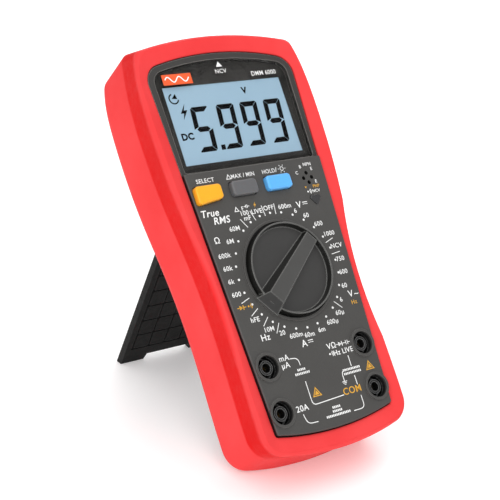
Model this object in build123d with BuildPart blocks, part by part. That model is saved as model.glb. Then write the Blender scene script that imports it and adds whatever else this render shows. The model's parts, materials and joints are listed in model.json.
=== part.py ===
"""Hand-held digital multimeter in a rubber boot, standing on its open tilt stand.

Everything is drawn in the case frame, in millimetres: the origin is the dial's centre on the
front panel, +X to the user's right, +Y towards the display, +Z out of the panel. The last
section leans the finished pieces back onto the bench and writes one STEP file for each.
"""

from build123d import *
from math import cos, radians, sin
import os

# ---------------------------------------------------------------- pose on the bench
LEAN = 38.0                 # panel leans this far back from upright
STAND_ANGLE = 62.0          # stand opens this far from the back of the case
BENCH_DROP = 78.2           # dial centre above the bench, measured square to the bench

# ---------------------------------------------------------------- panel and case
PANEL_TOP = (38.3, 94.9)    # upper corner of the boot's front opening
PANEL_CROWN = 100.6         # top of the opening on the centre line
PANEL_FOOT = (30.6, -64.9)  # lower corner of the opening
PANEL_SOLE = -68.4          # bottom of the opening on the centre line
PANEL_TOP_RADIUS = 9.0
PANEL_FOOT_RADIUS = 1.5
PANEL_SEAM = 0.45           # dark seam between the panel's edge and the boot's lip
WALL = 2.2
GAP = 0.15                  # assembly gap between parts that slip into each other
CASE_MARGIN = 2.0           # the case reaches this far under the boot's lip
LIP_Z = -2.4                # shoulder that the boot's lip sits on
PARTING_Z = -14.0           # joint between front and rear case
REAR_SHOULDER_Z = -31.8
REAR_MARGIN = -2.2          # the back's raised field, inside the boot's rear opening
BACK_Z = -36.0              # outside of the case's back
DISPLAY_STEP_Y = 47.2       # the panel steps down above this line
DISPLAY_STEP_Z = -1.8
DISPLAY_FLOOR_Z = -5.6      # inside of the front case behind the display
PANEL_BEVEL = 0.35
SHELL_SIZE = 100.0          # larger than the case, for cuts across its whole width

# ---------------------------------------------------------------- boot
BOOT_SIDE = [               # half width and height along the case, from the head to the foot
    (42.7, 93.0),
    (43.9, 78.0),
    (43.9, 64.0),
    (42.6, 40.0),
    (39.4, 12.0),
    (37.6, -22.0),
    (37.9, -54.0),
]
BOOT_HEAD_HALF = 40.2       # half width where the side meets the top arch
BOOT_HEAD_DROP = 4.8        # the arch falls this much from its crown to that corner
BOOT_FOOT_HALF = 37.6
BOOT_SOLE = -76.7
BOOT_SOLE_RISE = 5.4
BOOT_HEAD_RADIUS = 5.0
BOOT_FOOT_RADIUS = 10.0
BOOT_SECTIONS = [           # height, inset of the sides, crown of the top arch
    (0.9, 0.2, 107.3),      # ridge of the rim
    (-14.4, 1.8, 112.2),    # crease along the side
    (-31.5, -0.5, 107.6),   # heel, where the side turns under the back
    (-35.2, 3.2, 104.4),    # back
]
BOOT_RIDGE_RADIUS = 2.2
BOOT_EDGE_RADII = {-31.5: 4.0, -35.2: 1.5}  # soft edges at the heel and the back
LEVEL = 0.05                # how far apart two heights may be and still count as one
BOOT_RIM_FLARE = 6.2        # the rim's face slopes up from the opening over this width
BOOT_INNER_EDGE_Z = -1.4    # the lip's inner edge lies below the panel's face
WAIST_TILT = 33.4           # the waist bevel's normal, above the X axis
WAIST_REACH = 29.4          # distance from the dial's axis to the deepest bevel line
WAIST_Y = -14.0
WAIST_RADIUS = 198.0

# ---------------------------------------------------------------- display
WINDOW_Z = -2.2             # face of the clear window
WINDOW_THICKNESS = 1.9
MASK_THICKNESS = 0.15
WINDOW_FOOT = (33.6, 48.0)
WINDOW_TOP = (34.7, 92.8)
WINDOW_CROWN = 97.4
WINDOW_TOP_RADIUS = 6.0
WINDOW_FOOT_RADIUS = 1.2
WINDOW_RECESS = 2.5
GLASS_SIZE = (64.4, 39.0)
GLASS_Y = 69.5
GLASS_Z = -4.4
GLASS_THICKNESS = 2.0
VIEW_SIZE = (61.1, 35.3)
BACKLIGHT_THICKNESS = 2.6

# ---------------------------------------------------------------- selector
KNOB_RADIUS = 20.3
KNOB_RIM_Z = 3.5
KNOB_FLOOR_Z = 0.9
KNOB_UNDER_Z = -0.6
KNOB_TAIL_Z = 6.0           # top of the bar at its tail, and at its pointer end
KNOB_TIP_Z = 4.0
KNOB_POINTS_AT = 38.57      # degrees from +X: the third of 28 positions right of the top
KNOB_HUB_RADIUS = 5.0
KNOB_RING = (21.1, 22.2)    # inner and outer radius of the raised ring around the knob
KNOB_RING_HEIGHT = 0.8
KNOB_WELL_Z = -0.9
BAR_HALF_LENGTH = 18.0
BAR_BASE = [(-22.4, -6.1), (19.2, -3.6), (19.2, 3.6), (-22.4, 6.1)]
BAR_TOP = [(-18.0, -3.7), (18.3, -2.9), (18.3, 2.9), (-18.0, 3.7)]
BAR_CLEARANCE = 0.3         # between the bar's tail and the raised ring below it
HUB_END_Z = -9.8
CLIP_Z = -8.5               # groove for the clip that keeps the knob on the panel
CLIP_THICKNESS = 0.7
CLIP_BORE = 4.3
ROTOR_Z = -3.2
ROTOR_THICKNESS = 5.2
ROTOR_RADIUS = 14.0
DETENTS = 28
DETENT_RADIUS = 14.2        # where the balls sit
DETENT_Z = -5.7
BALL_RADIUS = 1.2
TRACK_RADII = (7.5, 10.0, 12.5)
TRACK_WIDTH = 1.2

# ---------------------------------------------------------------- keys
KEY_Y = 37.9
KEY_SIZE = (12.8, 6.4)
KEY_TOP_Z = 2.4
KEY_TRAVEL = 1.0
KEY_X = {"select_key": -27.4, "max_min_key": -9.5, "hold_key": 8.5}
KEY_SLANT = 1.7             # the left key's lower edge drops this much at its outer end
KEY_CORNER_RADIUS = 1.6
KEY_EDGE_RADIUS = 0.9
KEY_CLEARANCE = 0.3
KEY_FOOT_Z = LIP_Z - 0.5    # underside of the cap, where its collar begins
KEY_STEM_END_Z = -5.6
SWITCH_HEIGHT = 3.6

# ---------------------------------------------------------------- input jacks
JACK_X = 24.9
JACK_ROWS = (-37.3, -56.4)
JACK_BORE = 2.0             # radius of a 4 mm banana socket
JACK_DEPTH = 20.0
JACK_MOUTH_Z = -1.2
JACKS = {
    "volt_ohm": (JACK_X, JACK_ROWS[0]),
    "common": (JACK_X, JACK_ROWS[1]),
    "milliamp": (-JACK_X, JACK_ROWS[0]),
    "twenty_amp": (-JACK_X, JACK_ROWS[1]),
}
MOUTH_RADIUS = 4.9          # wide mouth of the recess
MOUTH_DEPTH = 3.0
RECESS_RADIUS = 4.2         # recess for the plug's shroud
RECESS_DEPTH = 17.0
POST_RADIUS = 3.1
LIP_RADIUS = 6.0
LIP_HEIGHT = 0.7
FLANGE_RADIUS = 5.7
FLANGE_DEPTH = 5.0
SLEEVE_RADIUS = 5.1
SLEEVE_LENGTH = 22.6
CONTACT_WALL = 0.4
CONTACT_DROP = 4.0          # the metal contact begins this far below the mouth

# ---------------------------------------------------------------- small front features
SOCKET_AT = (25.3, 38.1)
SOCKET_PIN_CIRCLE = 2.2
SOCKET_PIN_RADIUS = 0.95
SOCKET_RADIUS = 4.3
SOCKET_DEPTH = 6.0
INDICATOR_AT = (25.8, 27.6)
INDICATOR_SHAPE = [(-3.8, 2.3), (0.0, -2.6), (3.8, 2.3)]

# ---------------------------------------------------------------- inside
BOARD_Z = -12.0
BOARD_THICKNESS = 1.6
BOARD_BACK_Z = BOARD_Z - BOARD_THICKNESS
CELL_RADIUS = 7.1
CELL_LENGTH = 49.2
CELL_ROWS = (-6.6, -21.8)
CELL_Z = -26.6
BAY_SIZE = (54.0, 33.0)
BAY_Y = -14.2
COVER_SIZE = (56.4, 44.0)
COVER_Y = -17.4
COVER_THICKNESS = 1.9
COVER_RADIUS = 3.0
BAY_WALL = 1.2
BAY_DEPTH = 16.8
SCREW_SITES = [(-18.0, 94.0), (18.0, 94.0), (-12.0, -58.5), (12.0, -58.5)]
BOARD_SITES = [(-31.0, 14.0), (31.0, 14.0), (-17.0, -30.0), (17.0, -30.0)]
COVER_SCREWS = [(-17.0, -35.2), (17.0, -35.2)]
CASE_POST_RADIUS = 2.9
BOARD_POST_RADIUS = 2.4
SCREW_TUNNEL_RADIUS = 3.2
SCREW_HEAD_HEIGHT = 1.5
FUSE_Z = -20.0
FUSES = {                   # position along the case, length and radius
    "milliamp_fuse": (-49.5, 25.0, 3.0),
    "twenty_amp_fuse": (-40.8, 31.8, 3.15),
}
FUSE_CAP_LENGTH = 5.5

# ---------------------------------------------------------------- stand
HINGE_Y = 37.7
HINGE_Z = -38.9
PIN_RADIUS = 1.5
STAND_WIDTH = 51.4
STAND_THICKNESS = 3.6
KNUCKLE_RADIUS = 2.8
KNUCKLE_LENGTH = 40.0
FOOT_GAP = (24.0, 30.0)     # width at the top of the gap and at the soles
FOOT_GAP_HEIGHT = 4.4
STAND_TOP = -3.7            # the plate begins this far below the pin
STAND_CORNER_RADIUS = 3.0
PAD_HEIGHT = 0.7            # relief of the stand's inner face
PAD_SIZE = (8.0, 9.2)       # width and height of one pad of the relief
PAD_PITCH = (8.8, 10.0)
PAD_COLUMNS = 5
PAD_ROWS = 7
PAD_CORNER_RADIUS = 1.0
PAD_FIELD_Y = -46.5
PAD_BORDER = 3.0
PAD_FIELD_HEIGHT = 70.8

stand_plane = Plane(
    origin=(0, HINGE_Y, HINGE_Z),
    x_dir=(1, 0, 0),
    z_dir=(0, -sin(radians(STAND_ANGLE)), cos(radians(STAND_ANGLE))),
)
bench_plane = Plane(
    origin=(0, -BENCH_DROP * cos(radians(LEAN)), -BENCH_DROP * sin(radians(LEAN))),
    x_dir=(1, 0, 0),
    z_dir=(0, cos(radians(LEAN)), sin(radians(LEAN))),
)

# The stand's face runs this far from the pin down to the bench.
pin_height = BENCH_DROP + HINGE_Y * cos(radians(LEAN)) + HINGE_Z * sin(radians(LEAN))
STAND_REACH = pin_height / cos(radians(STAND_ANGLE - LEAN))


def panel_outline(margin, height):
    """Outline of the front opening, a tall trapezoid with arched ends, grown by a margin."""
    top_x, top_y = PANEL_TOP[0] + margin, PANEL_TOP[1] + margin
    foot_x, foot_y = PANEL_FOOT[0] + margin, PANEL_FOOT[1] - margin
    with BuildSketch(Plane.XY.offset(height)) as outline:
        with BuildLine():
            crown = ThreePointArc((-top_x, top_y), (0, PANEL_CROWN + margin), (top_x, top_y))
            right = Line(crown @ 1, (foot_x, foot_y))
            sole = ThreePointArc(right @ 1, (0, PANEL_SOLE - margin), (-foot_x, foot_y))
            Line(sole @ 1, crown @ 0)
        make_face()
        fillet(outline.vertices().sort_by(Axis.Y)[-2:], PANEL_TOP_RADIUS + margin)
        foot_radius = max(PANEL_FOOT_RADIUS + margin, 1.0)
        fillet(outline.vertices().sort_by(Axis.Y)[:2], foot_radius)
    return outline.sketch


def boot_outline(height, inset, crown):
    """Outline of the boot at one height: wide at the display and drawn in at the waist."""
    head = (BOOT_HEAD_HALF - inset, crown - BOOT_HEAD_DROP)
    foot = (BOOT_FOOT_HALF - inset, BOOT_SOLE + BOOT_SOLE_RISE + inset)
    side = [head] + [(x - inset, y) for x, y in BOOT_SIDE] + [foot]
    with BuildSketch(Plane.XY.offset(height)) as outline:
        with BuildLine():
            right = Spline(*side)
            left = Spline(*[(-x, y) for x, y in side])
            ThreePointArc(left @ 0, (0, crown), right @ 0)
            ThreePointArc(left @ 1, (0, BOOT_SOLE + inset), right @ 1)
        make_face()
        fillet(outline.vertices().sort_by(Axis.Y)[-2:], BOOT_HEAD_RADIUS)
        fillet(outline.vertices().sort_by(Axis.Y)[:2], BOOT_FOOT_RADIUS)
    return outline.sketch


def window_outline(margin, height):
    """Outline of the display window: straight foot, leaning sides and an arched top."""
    with BuildSketch(Plane.XY.offset(height)) as outline:
        with BuildLine():
            foot = Line(
                (-WINDOW_FOOT[0] - margin, WINDOW_FOOT[1] - margin),
                (WINDOW_FOOT[0] + margin, WINDOW_FOOT[1] - margin),
            )
            right = Line(foot @ 1, (WINDOW_TOP[0] + margin, WINDOW_TOP[1] + margin))
            crown = ThreePointArc(
                right @ 1,
                (0, WINDOW_CROWN + margin),
                (-WINDOW_TOP[0] - margin, WINDOW_TOP[1] + margin),
            )
            Line(crown @ 1, foot @ 0)
        make_face()
        fillet(outline.vertices().sort_by(Axis.Y)[-2:], WINDOW_TOP_RADIUS)
        fillet(outline.vertices().sort_by(Axis.Y)[:2], WINDOW_FOOT_RADIUS)
    return outline.sketch


def key_outline(name, margin, height):
    """Outline of one key; the left key's lower edge slants down towards the outside."""
    half_x, half_y = KEY_SIZE[0] / 2 + margin, KEY_SIZE[1] / 2 + margin
    slant = KEY_SLANT if name == "select_key" else 0.0
    with BuildSketch(Plane.XY.offset(height)) as outline:
        with Locations((KEY_X[name], KEY_Y)):
            Polygon(
                (-half_x, -half_y - slant),
                (half_x, -half_y),
                (half_x, half_y),
                (-half_x, half_y),
                align=None,
            )
        fillet(outline.vertices(), KEY_CORNER_RADIUS)
    return outline.sketch


def indicator_outline(margin, height):
    """Outline of the indicator lens, a rounded triangle that points down."""
    with BuildSketch(Plane.XY.offset(height)) as outline:
        with Locations(INDICATOR_AT):
            Polygon(*INDICATOR_SHAPE, align=None)
        fillet(outline.vertices(), 1.0)
        if margin:
            offset(amount=margin)
    return outline.sketch


# ================================================================ protective boot
with BuildPart() as protective_boot:
    loft([boot_outline(*section) for section in BOOT_SECTIONS], ruled=True)
    fillet(protective_boot.edges().group_by(Axis.Z)[-1], BOOT_RIDGE_RADIUS)
    for height, radius in BOOT_EDGE_RADII.items():
        edges_at_height = protective_boot.edges().filter_by_position(
            Axis.Z, height - LEVEL, height + LEVEL
        )
        fillet(edges_at_height, radius)
    # the waist is bevelled on both sides, for the hand
    tilt = radians(WAIST_TILT)
    waist_plane = Plane(
        origin=(WAIST_REACH * cos(tilt), 0, WAIST_REACH * sin(tilt)),
        x_dir=(0, 1, 0),
        z_dir=(sin(tilt), 0, -cos(tilt)),
    )
    with BuildSketch(waist_plane) as waist_bevel:
        with Locations((WAIST_Y, WAIST_RADIUS)):
            Circle(WAIST_RADIUS)
    for side_sketch in (waist_bevel.sketch, waist_bevel.sketch.mirror(Plane.YZ)):
        extrude(side_sketch, amount=40, both=True, mode=Mode.SUBTRACT)
    # rim that slopes up from the opening to the ridge
    loft(
        [
            panel_outline(0.0, BOOT_INNER_EDGE_Z),
            panel_outline(BOOT_RIM_FLARE, BOOT_SECTIONS[0][0]),
        ],
        ruled=True,
        mode=Mode.SUBTRACT,
    )
    extrude(panel_outline(0.0, BOOT_INNER_EDGE_Z), amount=-3, mode=Mode.SUBTRACT)
    # pocket for the case, and the open back
    pocket = panel_outline(CASE_MARGIN + GAP, LIP_Z + GAP)
    extrude(pocket, amount=REAR_SHOULDER_Z - LIP_Z - 2 * GAP, mode=Mode.SUBTRACT)
    extrude(panel_outline(REAR_MARGIN + 0.2, REAR_SHOULDER_Z), amount=-6, mode=Mode.SUBTRACT)
    # flat strip that stands on the bench
    split(bisect_by=bench_plane, keep=Keep.TOP)

# ================================================================ front case
with BuildPart() as front_case:
    extrude(panel_outline(CASE_MARGIN, PARTING_Z), amount=LIP_Z - PARTING_Z)
    extrude(panel_outline(-PANEL_SEAM, LIP_Z), amount=-LIP_Z)
    chamfer(front_case.faces().sort_by(Axis.Z)[-1].edges(), PANEL_BEVEL)
    # the display end of the panel lies lower
    with BuildSketch():
        with Locations((0, DISPLAY_STEP_Y)):
            Rectangle(SHELL_SIZE, SHELL_SIZE, align=(Align.CENTER, Align.MIN))
    extrude(amount=DISPLAY_STEP_Z, mode=Mode.SUBTRACT)
    # inside of the shell, thicker behind the display
    extrude(
        panel_outline(CASE_MARGIN - WALL, PARTING_Z),
        amount=DISPLAY_FLOOR_Z - PARTING_Z,
        mode=Mode.SUBTRACT,
    )
    with BuildSketch(Plane.XY.offset(DISPLAY_FLOOR_Z)):
        add(panel_outline(CASE_MARGIN - WALL, DISPLAY_FLOOR_Z))
        with Locations((0, DISPLAY_STEP_Y - 1.0)):
            Rectangle(
                SHELL_SIZE, SHELL_SIZE, align=(Align.CENTER, Align.MIN), mode=Mode.SUBTRACT
            )
    extrude(amount=LIP_Z - DISPLAY_FLOOR_Z, mode=Mode.SUBTRACT)
    # posts for the case screws, and posts that carry the circuit board
    with BuildSketch(Plane.XY.offset(PARTING_Z)):
        with Locations(*SCREW_SITES):
            Circle(CASE_POST_RADIUS)
    extrude(amount=LIP_Z - PARTING_Z)
    with BuildSketch(Plane.XY.offset(BOARD_Z)):
        with Locations(*BOARD_SITES):
            Circle(BOARD_POST_RADIUS)
    extrude(amount=LIP_Z - BOARD_Z)
    with BuildSketch(Plane.XY.offset(PARTING_Z)):
        with Locations(*SCREW_SITES):
            Circle(1.5)
    extrude(amount=8.0, mode=Mode.SUBTRACT)
    with BuildSketch(Plane.XY.offset(BOARD_Z)):
        with Locations(*BOARD_SITES):
            Circle(0.95)
    extrude(amount=6.5, mode=Mode.SUBTRACT)
    # window recess and display opening
    extrude(window_outline(0.0, DISPLAY_STEP_Z), amount=-WINDOW_RECESS, mode=Mode.SUBTRACT)
    with BuildSketch(Plane.XY.offset(DISPLAY_STEP_Z)):
        with Locations((0, GLASS_Y)):
            RectangleRounded(GLASS_SIZE[0] + 0.4, GLASS_SIZE[1] + 0.4, 0.6)
    extrude(amount=-5, mode=Mode.SUBTRACT)
    # keys and indicator
    for key_name in KEY_X:
        extrude(key_outline(key_name, KEY_CLEARANCE, 1.0), amount=-5, mode=Mode.SUBTRACT)
    extrude(indicator_outline(0.1, 1.0), amount=-5, mode=Mode.SUBTRACT)
    # dial: raised ring, shallow well and shaft hole
    with BuildSketch(Plane.XY):
        Circle(KNOB_RING[1])
        Circle(KNOB_RING[0], mode=Mode.SUBTRACT)
    extrude(amount=KNOB_RING_HEIGHT)
    with BuildSketch(Plane.XY):
        Circle(KNOB_RING[0])
    extrude(amount=KNOB_WELL_Z, mode=Mode.SUBTRACT)
    with BuildSketch(Plane.XY):
        Circle(KNOB_HUB_RADIUS + 0.08)
    extrude(amount=-4, mode=Mode.SUBTRACT)
    # jack mouths with raised lips
    with BuildSketch(Plane.XY):
        with Locations(*JACKS.values()):
            Circle(LIP_RADIUS)
    extrude(amount=LIP_HEIGHT)
    with BuildSketch(Plane.XY.offset(LIP_HEIGHT)):
        with Locations(*JACKS.values()):
            Circle(MOUTH_RADIUS)
    extrude(amount=-5, mode=Mode.SUBTRACT)
    # transistor test holes
    with BuildSketch(Plane.XY):
        with Locations(SOCKET_AT):
            with PolarLocations(SOCKET_PIN_CIRCLE, 4):
                Circle(SOCKET_PIN_RADIUS)
    extrude(amount=-4, mode=Mode.SUBTRACT)

# ================================================================ rear case
with BuildPart() as rear_case:
    extrude(panel_outline(CASE_MARGIN, PARTING_Z), amount=REAR_SHOULDER_Z - PARTING_Z)
    extrude(panel_outline(REAR_MARGIN, REAR_SHOULDER_Z), amount=BACK_Z - REAR_SHOULDER_Z)
    chamfer(rear_case.faces().sort_by(Axis.Z)[0].edges(), 0.8)
    extrude(
        panel_outline(CASE_MARGIN - WALL, PARTING_Z),
        amount=REAR_SHOULDER_Z + WALL - PARTING_Z,
        mode=Mode.SUBTRACT,
    )
    extrude(
        panel_outline(REAR_MARGIN - WALL, REAR_SHOULDER_Z + WALL),
        amount=BACK_Z - REAR_SHOULDER_Z,
        mode=Mode.SUBTRACT,
    )
    # battery bay: walls, opening and the cover's seat
    with BuildSketch(Plane.XY.offset(BACK_Z)):
        with Locations((0, BAY_Y)):
            Rectangle(BAY_SIZE[0] + 2 * BAY_WALL, BAY_SIZE[1] + 2 * BAY_WALL)
    extrude(amount=BAY_DEPTH + BAY_WALL)
    with BuildSketch(Plane.XY.offset(BACK_Z + 2.0)):
        with Locations(*COVER_SCREWS):
            Circle(3.0)
    extrude(amount=8.0)
    with BuildSketch(Plane.XY.offset(BACK_Z)):
        with Locations((0, BAY_Y)):
            Rectangle(*BAY_SIZE)
    extrude(amount=BAY_DEPTH, mode=Mode.SUBTRACT)
    with BuildSketch(Plane.XY.offset(BACK_Z)):
        with Locations((0, COVER_Y)):
            RectangleRounded(COVER_SIZE[0] + 0.4, COVER_SIZE[1] + 0.4, COVER_RADIUS + 0.2)
    extrude(amount=COVER_THICKNESS + 0.1, mode=Mode.SUBTRACT)
    with BuildSketch(Plane.XY.offset(BACK_Z)):
        with Locations(*COVER_SCREWS):
            Circle(1.3)
    extrude(amount=8.5, mode=Mode.SUBTRACT)
    # lugs that hold the stand's pin
    with BuildSketch(Plane.YZ.offset(KNUCKLE_LENGTH / 2 + 0.4)):
        with Locations((HINGE_Y, HINGE_Z)):
            Circle(3.0)
            Rectangle(6.0, 3.4, align=(Align.CENTER, Align.MIN))
    extrude(amount=5.0)
    mirror(about=Plane.YZ)
    with BuildSketch(Plane.YZ):
        with Locations((HINGE_Y, HINGE_Z)):
            Circle(PIN_RADIUS + 0.02)
    extrude(amount=40, both=True, mode=Mode.SUBTRACT)
    # screw tunnels with a seat for the heads
    with BuildSketch(Plane.XY.offset(PARTING_Z)):
        with Locations(*SCREW_SITES):
            Circle(SCREW_TUNNEL_RADIUS)
    extrude(amount=BACK_Z + 1 - PARTING_Z)
    with BuildSketch(Plane.XY.offset(PARTING_Z - 4.0)):
        with Locations(*SCREW_SITES):
            Circle(2.7)
    extrude(amount=-30, mode=Mode.SUBTRACT)
    with BuildSketch(Plane.XY.offset(PARTING_Z)):
        with Locations(*SCREW_SITES):
            Circle(1.6)
    extrude(amount=-5, mode=Mode.SUBTRACT)

# ================================================================ battery cover
with BuildPart() as battery_cover:
    with BuildSketch(Plane.XY.offset(BACK_Z)):
        with Locations((0, COVER_Y)):
            RectangleRounded(*COVER_SIZE, COVER_RADIUS)
    extrude(amount=COVER_THICKNESS)
    with BuildSketch(Plane.XY.offset(BACK_Z)):
        with Locations(*COVER_SCREWS):
            Circle(2.6)
    extrude(amount=1.0, mode=Mode.SUBTRACT)
    with BuildSketch(Plane.XY.offset(BACK_Z)):
        with Locations(*COVER_SCREWS):
            Circle(1.4)
    extrude(amount=3.0, mode=Mode.SUBTRACT)

# ================================================================ display stack
with BuildPart() as display_window:
    extrude(window_outline(-GAP, WINDOW_Z), amount=-WINDOW_THICKNESS)

with BuildPart() as window_mask:
    with BuildSketch(Plane.XY.offset(WINDOW_Z - WINDOW_THICKNESS)):
        add(window_outline(-GAP, WINDOW_Z - WINDOW_THICKNESS))
        with Locations((0, GLASS_Y)):
            Rectangle(*VIEW_SIZE, mode=Mode.SUBTRACT)
    extrude(amount=-MASK_THICKNESS)

with BuildPart() as lcd_glass:
    with BuildSketch(Plane.XY.offset(GLASS_Z)):
        with Locations((0, GLASS_Y)):
            Rectangle(*GLASS_SIZE)
    extrude(amount=-GLASS_THICKNESS)

with BuildPart() as lcd_backlight:
    with BuildSketch(Plane.XY.offset(GLASS_Z - GLASS_THICKNESS - 0.1)):
        with Locations((0, GLASS_Y)):
            RectangleRounded(GLASS_SIZE[0] - 1, GLASS_SIZE[1] - 6, 0.5)
    extrude(amount=-BACKLIGHT_THICKNESS)

with BuildPart() as lcd_holder:
    with BuildSketch(Plane.XY.offset(DISPLAY_FLOOR_Z - 0.2)):
        with Locations((0, GLASS_Y)):
            RectangleRounded(GLASS_SIZE[0] + 4, GLASS_SIZE[1] + 4, 1.0)
            Rectangle(GLASS_SIZE[0] + 0.4, GLASS_SIZE[1] + 0.4, mode=Mode.SUBTRACT)
    extrude(amount=BOARD_Z - DISPLAY_FLOOR_Z + 0.3)

with BuildPart() as zebra_strips:
    with BuildSketch(Plane.XY.offset(GLASS_Z - GLASS_THICKNESS - 0.05)):
        with Locations((0, GLASS_Y)):
            with GridLocations(0, GLASS_SIZE[1] - 2.8, 1, 2):
                Rectangle(GLASS_SIZE[0] - 4, 2.2)
    extrude(amount=BOARD_Z - (GLASS_Z - GLASS_THICKNESS) + 0.1)

# ================================================================ selector knob
with BuildPart() as selector_knob:
    # dished disc with a raised rim and a hub that passes through the panel
    with BuildSketch(Plane.XZ):
        with BuildLine():
            Polyline(
                (0, HUB_END_Z),
                (KNOB_HUB_RADIUS, HUB_END_Z),
                (KNOB_HUB_RADIUS, CLIP_Z - CLIP_THICKNESS),
                (CLIP_BORE, CLIP_Z - CLIP_THICKNESS),
                (CLIP_BORE, CLIP_Z),
                (KNOB_HUB_RADIUS, CLIP_Z),
                (KNOB_HUB_RADIUS, KNOB_UNDER_Z),
                (KNOB_RADIUS, KNOB_UNDER_Z),
                (KNOB_RADIUS - 0.3, KNOB_RIM_Z),
                (KNOB_RADIUS - 0.9, KNOB_RIM_Z),
                (KNOB_RADIUS - 1.7, KNOB_FLOOR_Z),
                (0, KNOB_FLOOR_Z),
                close=True,
            )
        make_face()
    revolve(axis=Axis.Z)
    # tapering bar, from tail to pointer
    bar_base = Plane.XY.offset(KNOB_FLOOR_Z - 0.5).rotated((0, 0, KNOB_POINTS_AT))
    bar_fall = (KNOB_TAIL_Z - KNOB_TIP_Z) / (2 * BAR_HALF_LENGTH)
    bar_top = Plane(
        origin=(0, 0, (KNOB_TAIL_Z + KNOB_TIP_Z) / 2),
        x_dir=(1, 0, -bar_fall),
        z_dir=(bar_fall, 0, 1),
    ).rotated((0, 0, KNOB_POINTS_AT))
    with BuildSketch(bar_base):
        Polygon(*BAR_BASE, align=None)
    with BuildSketch(bar_top):
        Polygon(*BAR_TOP, align=None)
    loft(ruled=True)
    # the tail reaches out over the raised ring and stays clear of it
    with BuildSketch(Plane.XY.offset(KNOB_RING_HEIGHT + BAR_CLEARANCE)):
        Circle(KNOB_RING[1] + 2)
        Circle(KNOB_RADIUS, mode=Mode.SUBTRACT)
    extrude(amount=-2, mode=Mode.SUBTRACT)

with BuildPart() as switch_rotor:
    with BuildSketch(Plane.XY.offset(ROTOR_Z)):
        Circle(ROTOR_RADIUS)
        Circle(KNOB_HUB_RADIUS + 0.05, mode=Mode.SUBTRACT)
    extrude(amount=-ROTOR_THICKNESS)
    # radial pockets for the detent springs and balls
    for side in (0, 180):
        pocket_plane = Plane.YZ.rotated((0, 0, KNOB_POINTS_AT + side))
        with BuildSketch(pocket_plane.offset(7.0)):
            with Locations((0, DETENT_Z)):
                Circle(BALL_RADIUS + 0.15)
        extrude(amount=10, mode=Mode.SUBTRACT)

with BuildPart() as detent_springs:
    for side in (0, 180):
        coil_plane = Plane.YZ.rotated((0, 0, KNOB_POINTS_AT + side))
        with BuildSketch(coil_plane.offset(7.1)):
            with Locations((0, DETENT_Z)):
                Circle(0.9)
                Circle(0.6, mode=Mode.SUBTRACT)
        extrude(amount=5.7)

with BuildPart() as detent_balls:
    with Locations((0, 0, DETENT_Z)):
        with PolarLocations(DETENT_RADIUS, 2, start_angle=KNOB_POINTS_AT):
            Sphere(BALL_RADIUS)

with BuildPart() as detent_ring:
    with BuildSketch(Plane.XY.offset(LIP_Z - 0.05)):
        Circle(18.0)
        Circle(DETENT_RADIUS + BALL_RADIUS + 0.1, mode=Mode.SUBTRACT)
        with PolarLocations(DETENT_RADIUS, DETENTS, start_angle=KNOB_POINTS_AT):
            Circle(BALL_RADIUS + 0.4, mode=Mode.SUBTRACT)
    extrude(amount=-5.0)

with BuildPart() as retaining_clip:
    with BuildSketch(Plane.XY.offset(CLIP_Z)):
        Circle(7.0)
        Circle(CLIP_BORE + 0.05, mode=Mode.SUBTRACT)
        Rectangle(10, 7.0, align=(Align.MIN, Align.CENTER), mode=Mode.SUBTRACT)
    extrude(amount=-CLIP_THICKNESS + 0.05)

with BuildPart() as switch_wipers:
    # two sprung leaves that hang from the rotor and end just above the tracks
    for side in (90, 270):
        leaf_plane = Plane.XZ.rotated((0, 0, KNOB_POINTS_AT + side))
        with BuildSketch(leaf_plane.offset(-1.2)):
            Polygon(
                (7.4, ROTOR_Z - ROTOR_THICKNESS),
                (12.6, ROTOR_Z - ROTOR_THICKNESS),
                (12.6, ROTOR_Z - ROTOR_THICKNESS - 0.3),
                (11.4, ROTOR_Z - ROTOR_THICKNESS - 0.3),
                (10.3, BOARD_Z + 0.2),
                (9.7, BOARD_Z + 0.2),
                (8.6, ROTOR_Z - ROTOR_THICKNESS - 0.3),
                (7.4, ROTOR_Z - ROTOR_THICKNESS - 0.3),
                align=None,
            )
        extrude(amount=2.4)

# ================================================================ keys
keys = {}
for key_name, key_x in KEY_X.items():
    with BuildPart() as key_cap:
        extrude(key_outline(key_name, 0.0, KEY_FOOT_Z), amount=KEY_TOP_Z - KEY_FOOT_Z)
        fillet(key_cap.faces().sort_by(Axis.Z)[-1].edges(), KEY_EDGE_RADIUS)
        # collar that keeps the cap in the panel, and the stem on its switch
        extrude(key_outline(key_name, KEY_CLEARANCE + 0.5, KEY_FOOT_Z), amount=-0.7)
        with BuildSketch(Plane.XY.offset(KEY_FOOT_Z)):
            with Locations((key_x, KEY_Y)):
                Circle(1.6)
        extrude(amount=KEY_STEM_END_Z - KEY_FOOT_Z)
    keys[key_name] = key_cap

with BuildPart() as tact_switches:
    with BuildSketch(Plane.XY.offset(BOARD_Z)):
        with Locations(*[(x, KEY_Y) for x in KEY_X.values()]):
            Rectangle(6.0, 6.0)
    extrude(amount=SWITCH_HEIGHT)
    # plungers that end just below the pressed stems
    with BuildSketch(Plane.XY.offset(BOARD_Z + SWITCH_HEIGHT)):
        with Locations(*[(x, KEY_Y) for x in KEY_X.values()]):
            Circle(1.6)
    extrude(amount=KEY_STEM_END_Z - KEY_TRAVEL - 0.2 - BOARD_Z - SWITCH_HEIGHT)

# ================================================================ small front parts
with BuildPart() as indicator_lens:
    extrude(indicator_outline(0.0, 0.5), amount=LIP_Z - 1.0)
    fillet(indicator_lens.faces().sort_by(Axis.Z)[-1].edges(), 0.4)

with BuildPart() as indicator_led:
    with BuildSketch(Plane.XY.offset(BOARD_Z)):
        with Locations(INDICATOR_AT):
            Circle(1.5)
    extrude(amount=4.5)
    fillet(indicator_led.faces().sort_by(Axis.Z)[-1].edges(), 1.2)

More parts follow.
